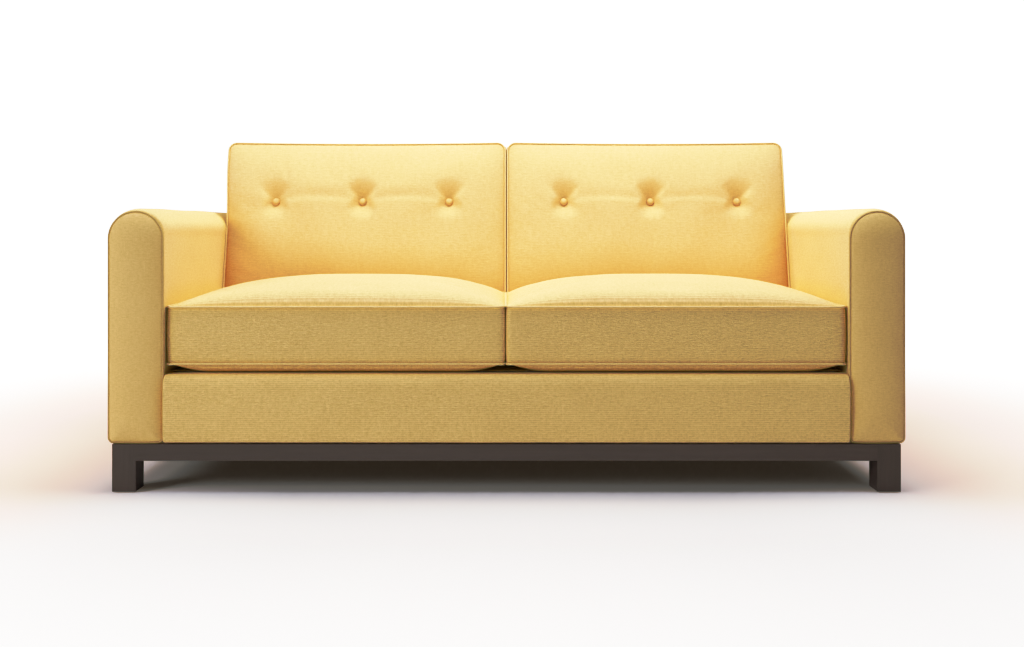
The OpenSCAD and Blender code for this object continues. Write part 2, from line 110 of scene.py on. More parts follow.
class Shell:
    """Collects vertices and quads, with a flat cloth coordinate on every corner."""

    def __init__(self):
        self.points, self.faces, self.cloth = [], [], []

    def add(self, points):
        """Adds an array of points and gives back the array of their numbers."""
        points = np.asarray(points, float)
        start = len(self.points)
        self.points.extend(points.reshape(-1, 3).tolist())
        return np.arange(start, len(self.points)).reshape(points.shape[:-1])

    def at(self, ids):
        """The points with these numbers."""
        return np.array(self.points)[ids]

    def panel(self, ids, cloth, flip=False):
        """Quads over a grid of point numbers, with the grid's cloth coordinates."""
        for i in range(ids.shape[0] - 1):
            for j in range(ids.shape[1] - 1):
                cell = [(i, j), (i + 1, j), (i + 1, j + 1), (i, j + 1)]
                if flip:
                    cell.reverse()
                face = [int(ids[c]) for c in cell]
                if len(set(face)) < 3:
                    continue
                keep = [k for k in range(4) if face[k] != face[k - 1]]
                self.faces.append([face[k] for k in keep])
                self.cloth.extend(cloth[cell[k]] for k in keep)

    def hub(self, loop, cloth):
        """Closes a loop of point numbers with a fan about its middle. The loop ends on its first point."""
        cloth = np.asarray(cloth, float)
        middle = self.add(self.at(loop[:-1]).mean(0)[None])[0]
        flat = np.stack([np.repeat(cloth[:-1].mean(0)[None], len(loop), 0), cloth])
        self.panel(np.stack([np.full(len(loop), middle), loop]), flat)

    def made(self, name, material, smooth=True):
        """The mesh object, with every face turned outwards."""
        me = bpy.data.meshes.new(name)
        me.from_pydata(self.points, [], self.faces)
        layer = me.uv_layers.new(name="Cloth")
        layer.data.foreach_set("uv", np.array(self.cloth, float).ravel())
        me.validate()
        bm = bmesh.new()
        bm.from_mesh(me)
        bmesh.ops.recalc_face_normals(bm, faces=bm.faces)
        bm.to_mesh(me)
        bm.free()
        me.polygons.foreach_set("use_smooth", [smooth] * len(me.polygons))
        me.materials.append(material)
        ob = bpy.data.objects.new(name, me)
        scene.collection.objects.link(ob)
        return ob

def steps(a, b, n):
    return np.linspace(a, b, n)

def smooth_step(x):
    x = np.clip(x, 0, 1)
    return x * x * (3 - 2 * x)

def path_lengths(points):
    """How far along a path each of its points lies."""
    return np.concatenate([[0], np.cumsum(np.linalg.norm(np.diff(points, axis=0), axis=1))])

def looped(grid):
    """A grid whose rows are closed by their own first points."""
    return np.concatenate([grid, grid[:, :1]], 1)

def mirrored(half):
    """A row of values from 0 up, with the same values below 0."""
    return np.concatenate([-half[:0:-1], half])

def cloth_grid(first, second):
    """The cloth coordinates of a grid, from the lengths along its two directions."""
    return np.stack(np.meshgrid(first, second, indexing="ij"), -1)

def bump_noise(x, y, scale, seed):
    """Soft seeded noise in -1..1, from a few crossed waves."""
    rng = np.random.default_rng(seed)
    total = np.zeros(np.broadcast(x, y).shape)
    for _ in range(7):
        angle = rng.uniform(0, math.tau)
        length = scale * rng.uniform(0.6, 1.7)
        phase = rng.uniform(0, math.tau)
        total += np.sin((x * math.cos(angle) + y * math.sin(angle)) * math.tau / length + phase)
    return total / 3.5

def rounded_plan(a, b, half_w, half_d, corner):
    """Square coordinates a, b in -1..1 on a rectangle with round corners."""
    x, y = a * half_w, b * half_d
    qx = np.clip((np.abs(x) - (half_w - corner)) / corner, 0, 1)
    qy = np.clip((np.abs(y) - (half_d - corner)) / corner, 0, 1)
    inside = (qx > 0) & (qy > 0)
    rx = qx * np.sqrt(1 - qy * qy / 2)
    ry = qy * np.sqrt(1 - qx * qx / 2)
    x = np.where(inside, np.sign(x) * (half_w - corner + corner * rx), x)
    y = np.where(inside, np.sign(y) * (half_d - corner + corner * ry), y)
    return x, y

def rim(ids):
    """The outer loop of a grid, anticlockwise, closed."""
    return np.concatenate([ids[:, 0], ids[-1, 1:], ids[-2::-1, -1], ids[0, -2::-1]])

def tube(name, path, radius, material, sides=8, closed=False, squash=1.0):
    """A round cord along a path of points."""
    path = np.asarray(path, float)
    n = len(path)
    ahead = np.roll(path, -1, 0) - np.roll(path, 1, 0)
    if not closed:
        ahead[0], ahead[-1] = path[1] - path[0], path[-1] - path[-2]
    ahead /= np.linalg.norm(ahead, axis=1)[:, None]
    side = np.cross(ahead[0], [0.0, 0.0, 1.0])
    if np.linalg.norm(side) < 0.1:
        side = np.cross(ahead[0], [1.0, 0.0, 0.0])
    rings, lengths, length = [], [], 0.0
    for i in range(n):
        side = side - ahead[i] * np.dot(side, ahead[i])
        side /= np.linalg.norm(side)
        up = np.cross(side, ahead[i])
        turn = steps(0, math.tau, sides + 1)[:-1, None]
        rings.append(path[i] + radius * (np.cos(turn) * side + squash * np.sin(turn) * up))
        lengths.append(length)
        if i < n - 1:
            length += np.linalg.norm(path[i + 1] - path[i])
    shell = Shell()
    ids = shell.add(np.array(rings))
    ids = looped(ids)
    around = steps(0, math.tau * radius, sides + 1)
    if closed:
        ids = np.concatenate([ids, ids[:1]], 0)
        lengths.append(length + np.linalg.norm(path[0] - path[-1]))
    cloth = cloth_grid(lengths, around)
    shell.panel(ids, cloth)
    if not closed:
        for end in (0, -1):
            shell.hub(ids[end], cloth[end])
    return shell.made(name, material)

def solid(ob, *nodes_replaced, body="sofa_frame", slot="cover_fabric", subdivide=1, fill=None):
    """Names what a piece rides on and stands for, and smooths it."""
    if subdivide:
        smoother = ob.modifiers.new("smooth", "SUBSURF")
        smoother.levels = smoother.render_levels = subdivide
    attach(ob, body)
    if nodes_replaced:
        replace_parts(ob, *nodes_replaced)
    return ob

def settle(ob, held, cap, pressure, slack, share=1.0, bending=0.5, stiffness=12.0, frames=20):
    """Lets a cushion's cover find its own shape over the filling: it is pressed out with its seams held.
    No point moves further than cap, and a share of the movement is kept."""
    rest = np.array([v.co for v in ob.data.vertices], float)
    group = ob.vertex_groups.new(name="held")
    group.add([int(k) for k in held], 1.0, "REPLACE")
    cover = ob.modifiers.new("cover", "CLOTH")
    s = cover.settings
    s.quality = 5
    s.mass = 0.3
    s.tension_stiffness = s.compression_stiffness = stiffness
    s.shear_stiffness = stiffness / 3
    s.bending_stiffness = bending
    s.use_pressure = True
    s.uniform_pressure_force = pressure
    s.vertex_group_mass = "held"
    s.shrink_min = -slack
    s.effector_weights.gravity = 0
    cover.collision_settings.use_collision = False
    cover.point_cache.frame_end = frames
    for i in range(1, frames + 1):
        scene.frame_set(i)
    found = ob.evaluated_get(bpy.context.evaluated_depsgraph_get()).to_mesh()
    moved = np.array([v.co for v in found.vertices], float) - rest
    ob.modifiers.remove(cover)
    ob.vertex_groups.remove(group)
    scene.frame_set(1)
    far = np.linalg.norm(moved, axis=1)
    moved *= share * np.minimum(1, cap / np.maximum(far, 1e-9))[:, None]
    place_points(ob, rest + moved)

def place_points(ob, points):
    ob.data.vertices.foreach_set("co", np.asarray(points, np.float32).ravel())
    ob.data.update()

def points_of(ob):
    return np.array([v.co for v in ob.data.vertices], float)

# ---- Materials ----

def new_material(name):
    material = bpy.data.materials.new(name)
    material.use_nodes = True
    tree = material.node_tree
    return material, tree, tree.nodes["Principled BSDF"]

def add(tree, kind, inputs=(), **settings):
    """A shader node with its inputs linked to sockets or set to values."""
    node = tree.nodes.new(kind)
    for key, value in settings.items():
        setattr(node, key, value)
    for key, value in dict(inputs).items():
        if isinstance(value, bpy.types.NodeSocket):
            tree.links.new(value, node.inputs[key])
        else:
            node.inputs[key].default_value = value
    return node

def math_node(tree, operation, a, b=0.0, c=0.0):
    return add(tree, "ShaderNodeMath", {0: a, 1: b, 2: c}, operation=operation).outputs[0]

def remap(tree, value, low, high, to_low=0.0, to_high=1.0, **settings):
    """Spreads a value's range from low to high over another range, held at its ends."""
    return add(tree, "ShaderNodeMapRange", {"Value": value, "From Min": low, "From Max": high,
                                            "To Min": to_low, "To Max": to_high}, **settings).outputs[0]

def noise(tree, vector, scale, detail, roughness=0.5, distortion=0.0):
    return add(tree, "ShaderNodeTexNoise", {"Vector": vector, "Scale": scale, "Detail": detail,
                                            "Roughness": roughness, "Distortion": distortion}).outputs["Fac"]

def mixed(tree, factor, a, b, **settings):
    """A mix of two colours, each of them a colour or a socket."""
    a, b = (c if isinstance(c, bpy.types.NodeSocket) else (*c, 1) for c in (a, b))
    return add(tree, "ShaderNodeMix", {"Factor": factor, 6: a, 7: b}, data_type="RGBA", **settings).outputs[2]

def surface(tree, shader, colour, height, strength, depth, even):
    """Wires a colour and a relief into the shader, and sets its even values."""
    tree.links.new(colour, shader.inputs["Base Color"])
    relief = add(tree, "ShaderNodeBump", {"Strength": strength, "Distance": depth, "Height": height})
    tree.links.new(relief.outputs[0], shader.inputs["Normal"])
    for key, value in even.items():
        shader.inputs[key].default_value = value

def fabric(name, colour, contrast=0.22, thread=0.0047, dash=0.013, bump=0.5, ribs=1.0,
           crease_shade=(0.95, 0.94, 0.38), near=0.05):
    """A slubby plain weave. Its rows run along the first of the piece's own cloth coordinates.
    Where the cloth is closer to itself than near, the crease_shade colour is multiplied in: painted shade,
    darker and warmer in its creases, hollows and between parts."""
    material, tree, shader = new_material(name)
    cloth = add(tree, "ShaderNodeUVMap", uv_map="Cloth").outputs["UV"]
    part = add(tree, "ShaderNodeSeparateXYZ", {0: cloth})
    u, v = part.outputs["X"], part.outputs["Y"]

    def uneven(length, width, detail):
        """Noise in 0..1, stretched to a length along the rows and a width across them."""
        scaled = add(tree, "ShaderNodeCombineXYZ", {0: math_node(tree, "DIVIDE", u, length),
                                                    1: math_node(tree, "DIVIDE", v, width)})
        return noise(tree, scaled.outputs[0], 1.0, detail, 0.55)

    rows = uneven(dash, thread, 1.0)
    slubs = uneven(dash / 4, thread * 0.7, 2.0)
    lines = uneven(thread * 0.9, 0.03, 1.0)
    cloudy = uneven(0.13, 0.10, 3.0)
    weft = math_node(tree, "SINE", math_node(tree, "MULTIPLY", v, math.tau / thread))
    tone = math_node(tree, "MULTIPLY", rows, 0.55)
    for layer, share in ((slubs, 0.7), (lines, 0.25), (cloudy, 0.2), (weft, ribs * 0.1)):
        tone = math_node(tree, "MULTIPLY_ADD", layer, share, tone)
    light, dark = 1 + contrast * 0.5, 1 - contrast * 0.5
    deep = (colour[0] * dark, colour[1] * dark * 0.97, colour[2] * dark * 0.90)
    pale = (min(1, colour[0] * light), colour[1] * light, colour[2] * light * 1.06)
    dye_and_painted_shade = mixed(tree, remap(tree, tone, 0.58, 1.12), deep, pale)
    # painted shade: ambient occlusion darkens and warms the colour where the cloth lies close to itself or to
    # other parts
    open_air = add(tree, "ShaderNodeAmbientOcclusion", {"Distance": near}, samples=4).outputs["AO"]
    dye_and_painted_shade = mixed(tree, math_node(tree, "SUBTRACT", 1.0, open_air), dye_and_painted_shade, crease_shade, blend_type="MULTIPLY")
    height = math_node(tree, "MULTIPLY_ADD", weft, ribs * 0.5, math_node(tree, "ADD", rows, slubs))
    surface(tree, shader, dye_and_painted_shade, height, bump, 0.0006, {
        "Roughness": 0.9, "Specular IOR Level": 0.2, "Sheen Weight": 0.16, "Sheen Roughness": 0.5,
        "Sheen Tint": (1.0, 0.95, 0.82, 1)})
    return material

def wood(name, colour, dark, rough, along="X"):
    """Straight-grained wood in object space."""
    material, tree, shader = new_material(name)
    place = add(tree, "ShaderNodeTexCoord").outputs["Object"]
    stretch = {"X": (1.2, 22, 22), "Y": (22, 1.2, 22), "Z": (22, 22, 1.2)}[along]
    mapped = add(tree, "ShaderNodeMapping", {"Vector": place, "Scale": stretch}).outputs[0]
    fine = noise(tree, mapped, 9.0, 3.0, 0.7)
    grain = math_node(tree, "MULTIPLY_ADD", fine, 0.45, noise(tree, mapped, 1.0, 6.0, 0.65, 0.4))
    surface(tree, shader, mixed(tree, remap(tree, grain, 0.45, 1.0), dark, colour), grain, 0.25, 0.0004, {})
    gloss = remap(tree, fine, 0.0, 1.0, rough - 0.08, rough + 0.1)
    tree.links.new(gloss, shader.inputs["Roughness"])
    return material

def speckled(name, colour, dark, scale, rough, metallic=0.0):
    """A plain material with fine uneven tone and relief, for foam, plastic, metal and non-woven cloth."""
    material, tree, shader = new_material(name)
    grains = noise(tree, add(tree, "ShaderNodeTexCoord").outputs["Object"], scale, 4.0, 0.7)
    surface(tree, shader, mixed(tree, grains, dark, colour), grains, 0.3, 0.0004,
            {"Roughness": rough, "Metallic": metallic})
    return material

def banded(name, colour, dark, pitch, axis, rough):
    """Even ribs across one axis, for webbing and zips."""
    material, tree, shader = new_material(name)
    place = add(tree, "ShaderNodeTexCoord").outputs["Object"]
    part = add(tree, "ShaderNodeSeparateXYZ", {0: place}).outputs[axis]
    wave = math_node(tree, "SINE", math_node(tree, "MULTIPLY", part, math.tau / pitch))
    tone = math_node(tree, "MULTIPLY_ADD", wave, 0.35, noise(tree, place, 900.0, 2.0))
    surface(tree, shader, mixed(tree, tone, dark, colour), tone, 0.5, pitch / 5, {"Roughness": rough})
    return material

GOLD = (0.82, 0.582, 0.255)
CORD = {"contrast": 0.3, "thread": 0.003, "dash": 0.006, "bump": 0.3}
# The crease_shade tints are painted shade: deepest and most orange on the back cushions, where they meet the
# seats, and milder on the other cloths.
cover_cloth = fabric("golden_linen", GOLD, contrast=0.2, ribs=0.25, crease_shade=(0.64, 0.46, 0.12), near=0.12)
# The ribbed and arm copies are painted a little brighter than GOLD: painted light on the seat cushions, the
# front border and the arms.
front_cloth = fabric("golden_linen_ribbed", (0.84, 0.605, 0.265), contrast=0.34, dash=0.009, bump=0.7,
                     crease_shade=(1.0, 0.93, 0.44))
arm_cloth = fabric("golden_linen_arm", (0.82, 0.60, 0.26), contrast=0.3, thread=0.004, dash=0.010, ribs=0.0,
                   crease_shade=(0.97, 0.97, 0.6))
facing_cloth = fabric("golden_linen_fine", GOLD, contrast=0.20, thread=0.0036, dash=0.009, ribs=0.0)
# The cushions' cord is painted a little paler than the cover, painted light on the welts' shaded sides; the
# arms' cord is painted darker, painted shade for the shadow line round the facings.
welt_cloth = fabric("golden_linen_cord", (0.84, 0.63, 0.29), crease_shade=(0.95, 0.95, 0.8), near=0.01, **CORD)
arm_welt_cloth = fabric("golden_linen_cord_dark", (0.60, 0.42, 0.17), **CORD)
base_wood = {axis: wood(f"espresso_{axis}", (0.085, 0.053, 0.049), (0.050, 0.032, 0.030), 0.42, axis)
             for axis in "XYZ"}
frame_wood = {axis: wood(f"hardwood_{axis}", (0.62, 0.46, 0.28), (0.45, 0.30, 0.16), 0.6, axis)
              for axis in "XYZ"}
foam = speckled("foam", (0.86, 0.80, 0.62), (0.74, 0.66, 0.47), 420.0, 0.95)
batting = speckled("batting", (0.90, 0.89, 0.86), (0.74, 0.73, 0.70), 160.0, 1.0)
deck_twill = fabric("deck_twill", (0.62, 0.50, 0.30), contrast=0.2, thread=0.002, dash=0.004, bump=0.4)
dust_felt = speckled("dust_felt", (0.030, 0.030, 0.032), (0.016, 0.016, 0.017), 700.0, 0.95)
steel = speckled("zinc_steel", (0.62, 0.63, 0.64), (0.48, 0.49, 0.50), 260.0, 0.38, 1.0)
spring_steel = speckled("blued_steel", (0.30, 0.31, 0.33), (0.18, 0.19, 0.21), 240.0, 0.42, 1.0)
glide_plastic = speckled("glide_plastic", (0.055, 0.055, 0.058), (0.038, 0.038, 0.040), 500.0, 0.5)
webbing = banded("jute_webbing", (0.62, 0.48, 0.27), (0.40, 0.28, 0.13), 0.003, "X", 0.9)
zip_tape = banded("zip_tape", (0.66, 0.47, 0.17), (0.44, 0.30, 0.10), 0.0024, "X", 0.75)
# ---- Arms ----

ARM_R = (ARM_HI.x - ARM_LO.x) / 2 + 0.0014
ARM_X = (ARM_HI.x + ARM_LO.x) / 2 + 0.0014
ARM_SPRING = ARM_HI.z - ARM_R - 0.0045

def arch_points(inset, foot, n_side, n_top):
    """An arch in x and z about the arm's middle, from its outer foot over the top to its inner foot."""
    r = ARM_R - inset
    up = [(r, z) for z in steps(foot, ARM_SPRING, n_side)]
    over = [(r * math.cos(a), ARM_SPRING + r * math.sin(a)) for a in steps(0, math.pi, n_top)[1:-1]]
    down = [(-r, z) for z in steps(ARM_SPRING, foot, n_side)]
    return np.array(up + over + down)

def facing_outline(inset, toe):
    """The closed outline of an arm's end, with small round toes, from the middle of its foot and back."""
    r, foot = ARM_R - inset, FOOT + 0.001 + inset
    sole = [(x, foot - 0.0008 * (1 - (x / (r - toe)) ** 2)) for x in steps(0, r - toe, 12)[:-1]]
    turn = [(r - toe + toe * math.sin(a), foot + toe - toe * math.cos(a)) for a in steps(0, math.pi / 2, 7)]
    up = [(r, z) for z in steps(foot + toe, ARM_SPRING, 50)[1:]]
    over = [(r * math.cos(a), ARM_SPRING + r * math.sin(a)) for a in steps(0, math.pi / 2, 17)[1:]]
    half = sole + turn + up + over
    return np.array(half + [(-x, z) for x, z in half[-2:0:-1]])

def close_arch(shell, loop, flip):
    """Closes the end of an arch with panels between its mirrored points, of which there is an odd number."""
    middle = len(loop) // 2 + 1
    pairs = np.stack([loop[:middle], loop[::-1][:middle]])
    shell.panel(pairs, shell.at(pairs)[..., [0, 2]], flip)

def arm(side, sign):
    """The padded arm behind its facing: flat against the cushions, full over the top and outside."""
    shell = Shell()
    ys = np.concatenate([
        steps(ARM_LO.y, ARM_LO.y + 0.07, 13)[:-1], steps(ARM_LO.y + 0.07, ARM_HI.y - 0.04, 44),
        steps(ARM_HI.y - 0.04, ARM_HI.y - 0.001, 9)[1:]])
    section = arch_points(0, FOOT + 0.001, 44, 35)
    lengths = path_lengths(section)
    height = section[:, 1]
    outside = section[:, 0] > 0
    up = np.clip((height - FOOT) / (ARM_SPRING - FOOT), 0, 1)
    outer_top, inner_top = smooth_step((height - 0.52) / 0.10), smooth_step((height - ARM_SPRING) / 0.035)
    over_top = np.where(outside, outer_top, inner_top)
    rows = []
    for y in ys:
        from_front, from_rear = min(1, (y - ARM_LO.y) / 0.04), min(1, (ARM_HI.y - y) / 0.02)
        rounding = 1 - math.sqrt(1 - (1 - from_front) ** 2)
        swell = 0.0068 * (1 - rounding) * (0.85 + 0.15 * math.cos((y + 0.2) * 4))
        tuck = 0.012 * (1 - math.sqrt(max(0.0, 1 - (1 - from_rear) ** 2)))
        outer_pad = np.where(outside, 0.0035 * np.sin(up * math.pi) * (1 - rounding), -0.0016)
        soft = 0.0008 * bump_noise(np.full(len(section), y), lengths, 0.30, 11 if sign > 0 else 12)
        soft = soft * np.where(outside | (over_top > 0), 1, 0)
        grow = 1 + (over_top * (swell - 0.001 + soft) + (outer_pad + soft) * (1 - over_top) - tuck) / ARM_R
        x = ARM_X + section[:, 0] * grow
        z = np.where(height > ARM_SPRING, ARM_SPRING + (height - ARM_SPRING) * grow, height)
        rows.append(np.stack([sign * x, np.full(len(x), y), z], 1))
    ids = shell.add(np.array(rows))
    cloth = cloth_grid(ys, lengths)
    shell.panel(ids, cloth, flip=sign > 0)
    close_arch(shell, ids[0], sign < 0)
    close_arch(shell, ids[-1], sign > 0)
    foot = np.stack([ids[:, 0], ids[:, -1]])
    shell.panel(foot, shell.at(foot)[..., :2], flip=sign > 0)
    return solid(shell.made(f"arm_{side}", arm_cloth), f"arm_cover_{side}", f"arm_foam_{side}", fill=0.8)

def arm_facing(name, sign, y, out, thick, nodes_replaced=()):
    """The padded panel inside the welt on an arm's end, in rings that shrink towards its middle line.
    It faces the way that out points along y."""
    shell = Shell()
    outline = facing_outline(0.0040, 0.010)
    core = np.stack([np.zeros(len(outline)), np.clip(outline[:, 1], FOOT + ARM_R, ARM_SPRING)], 1)
    rings = []
    for shrink in [1.0, 1.0, *steps(0.985, 0.10, 15)]:
        flat = core + (outline - core) * shrink
        rise = 0.003 + thick * (1 - shrink ** 2) ** 0.78
        depth = np.full(len(flat), y + rise * out)
        rings.append(np.stack([sign * (ARM_X + flat[:, 0]), depth, flat[:, 1]], 1))
    rings = np.array(rings)
    rings[0, :, 1] = y - 0.006 * out
    ids = shell.add(rings)
    ids = looped(ids)
    flip = sign * out > 0
    shell.panel(ids, looped(rings)[..., [0, 2]], flip)
    shell.hub(ids[0], np.concatenate([rings[0], rings[0][:1]])[:, [0, 2]])
    close_arch(shell, ids[-1], False)
    return solid(shell.made(name, facing_cloth), *nodes_replaced, fill=0.7)

def arm_welt(name, sign, y):
    """The piping round a facing."""
    path = facing_outline(0.0024, 0.011)
    points = np.stack([sign * (ARM_X + path[:, 0]), np.full(len(path), y), path[:, 1]], 1)
    return solid(tube(name, points, 0.0026, arm_welt_cloth, closed=True), slot="welt", subdivide=0)

for side, sign in SIDES:
    arm(side, sign)
    arm_facing(f"arm_facing_{side}", sign, ARM_LO.y, -1, 0.0155, [f"arm_panel_{side}"])
    arm_facing(f"arm_end_{side}", sign, ARM_HI.y - 0.004, 1, 0.0025)
    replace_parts(arm_welt(f"arm_welt_{side}", sign, ARM_LO.y - 0.0015), "arm_welts")
    arm_welt(f"arm_end_welt_{side}", sign, ARM_HI.y - 0.0015)

# ---- Front border ----

BORDER_TOP = BORDER_HI.z - 0.0028

def front_border():
    """The padded rail under the seat cushions, rounded over at its top."""
    r = 0.020
    y0, y1, top = BORDER_LO.y, BORDER_HI.y, BORDER_TOP
    face = [(y0, z) for z in steps(BORDER_LO.z + 0.001, top - r, 16)]
    over = [(y0 + r - r * math.cos(a), top - r + r * math.sin(a)) for a in steps(0, math.pi / 2, 9)[1:]]
    flat = [(y, top) for y in steps(y0 + r, y1, 6)[1:]]
    section = np.array(face + over + flat + [(y1, BORDER_LO.z + 0.001)])
    lengths = path_lengths(section)
    end = INNER - 0.0008
    xs = np.concatenate([[-end, -end + 0.0012], steps(-end + 0.006, end - 0.006, 136), [end - 0.0012, end]])
    grid = np.zeros((len(xs), len(section), 3))
    grid[:, :, 0] = xs[:, None]
    grid[:, :, 1] = section[None, :, 0]
    grid[:, :, 2] = section[None, :, 1]
    up = np.clip((section[:, 1] - FOOT) / (top - FOOT), 0, 1)
    bulge = 0.003 * np.sin(up * math.pi)[None]
    bulge = bulge + 0.0006 * bump_noise(xs[:, None], section[None, :, 1] * 2, 0.25, 3)
    grid[:, :16, 1] -= bulge[:, :16]
    shell = Shell()
    ids = shell.add(grid)
    ids_loop = looped(ids)
    lengths = np.append(lengths, lengths[-1] + 0.05)
    shell.panel(ids_loop, cloth_grid(xs, lengths))
    for end in (0, -1):
        shell.hub(ids_loop[end], np.concatenate([section, section[:1]]))
    return solid(shell.made("front_border", front_cloth), "front_border_cover", "front_border_foam", fill=0.9)

front_border()

# ---- Cushions ----

def back_face(x_from_middle, up):
    """How far the back cushion's front stands proud of its seam plane, at a height up the lean."""
    middle, half = (BACK_TOP + BACK_FOOT) / 2, (BACK_TOP - BACK_FOOT) / 2
    v = (up - middle) / half
    from_side = np.clip((BACK_W / 2 - np.abs(x_from_middle)) / 0.06, 0, 1)
    dome = np.clip(1 - np.abs(x_from_middle / (BACK_W / 2)) ** 2.6, 0, 1)
    across = 0.5 * np.sqrt(1 - (1 - from_side) ** 2) + 0.5 * dome
    along = np.where(v > 0, 1 - np.abs(v) ** 3.2, 1 - np.abs(v) ** 2)
    return BACK_CROWN * across * np.clip(along, 0, 1) ** 0.85

def back_limit(x_from_middle, z):
    """The y of the back cushion's front at height z."""
    up = (z - LEAN_ORIGIN[2]) / math.cos(LEAN)
    proud = back_face(x_from_middle, up)
    return LEAN_ORIGIN[1] + up * math.sin(LEAN) - proud / math.cos(LEAN)

def cushion(width, depth, top_rise, foot_drop, corner, cells, ring_heights, bulge):
    """A boxed cushion as one closed shell: top panel, boxing and bottom panel. top_rise and foot_drop
    give each panel's height from its seam. Gives the shell, the bottom's points and the boxing's rings."""
    box_h = ring_heights[-1]
    a, b = np.meshgrid(steps(-1, 1, cells[0] + 1), steps(-1, 1, cells[1] + 1), indexing="ij")
    x, y = rounded_plan(a, b, width / 2, depth / 2, corner)
    shell = Shell()
    top = np.stack([x, y, box_h + top_rise(x, y)], -1)
    bottom = np.stack([x, y, -foot_drop(x, y)], -1)
    top_ids, bottom_ids = shell.add(top), shell.add(bottom)
    shell.panel(top_ids, np.stack([x, y], -1))
    shell.panel(bottom_ids, np.stack([x, y], -1), flip=True)
    loop_top, loop_bottom = rim(top_ids), rim(bottom_ids)
    edge = shell.at(loop_top)
    travel = path_lengths(edge)
    out = np.stack([np.roll(edge[:-1], -1, 0)[:, 1] - np.roll(edge[:-1], 1, 0)[:, 1],
                    np.roll(edge[:-1], 1, 0)[:, 0] - np.roll(edge[:-1], -1, 0)[:, 0]], 1)
    out /= np.linalg.norm(out, axis=1)[:, None]
    low = shell.at(loop_bottom)[:-1]
    rows = [loop_bottom]
    for height in ring_heights[1:-1]:
        s = height / box_h
        ring = low * (1 - s) + edge[:-1] * s
        ring[:, :2] += out * (bulge * math.sin(s * math.pi) ** 0.7)
        ids = shell.add(ring)
        rows.append(np.append(ids, ids[0]))
    rows.append(loop_top)
    rows = np.array(rows)
    cloth = cloth_grid(ring_heights, travel)[..., ::-1]
    shell.panel(rows, cloth)
    return shell, bottom_ids, rows

def seam_cord(name, ob, loop, radius, body, out):
    """A welt along a seam, set a little outside it."""
    points = np.array([ob.data.vertices[int(k)].co for k in loop])
    ahead = np.roll(points, -1, 0) - np.roll(points, 1, 0)
    facing = np.cross(points - points.mean(0), ahead).sum(0)
    away = np.cross(ahead, facing)
    away /= np.linalg.norm(away, axis=1)[:, None]
    away *= np.sign((away * (points - points.mean(0))).sum())
    cord = tube(name, points + away * out, radius, welt_cloth, closed=True)
    return solid(cord, body=body, slot="welt", subdivide=0)

# Heights of the boxing's rings, close together where the zip's channel runs
ZIP_LOW, ZIP_HIGH = ZIP_LO.z - SEAT_LOW, ZIP_HI.z - SEAT_LOW
SEAT_RINGS = np.concatenate([
    steps(0, ZIP_LOW - 0.002, 7), [ZIP_LOW - 0.0004], steps(ZIP_LOW + 0.003, ZIP_HIGH - 0.003, 2),
    [ZIP_HIGH + 0.0004], steps(ZIP_HIGH + 0.002, SEAT_BOX, 7)])

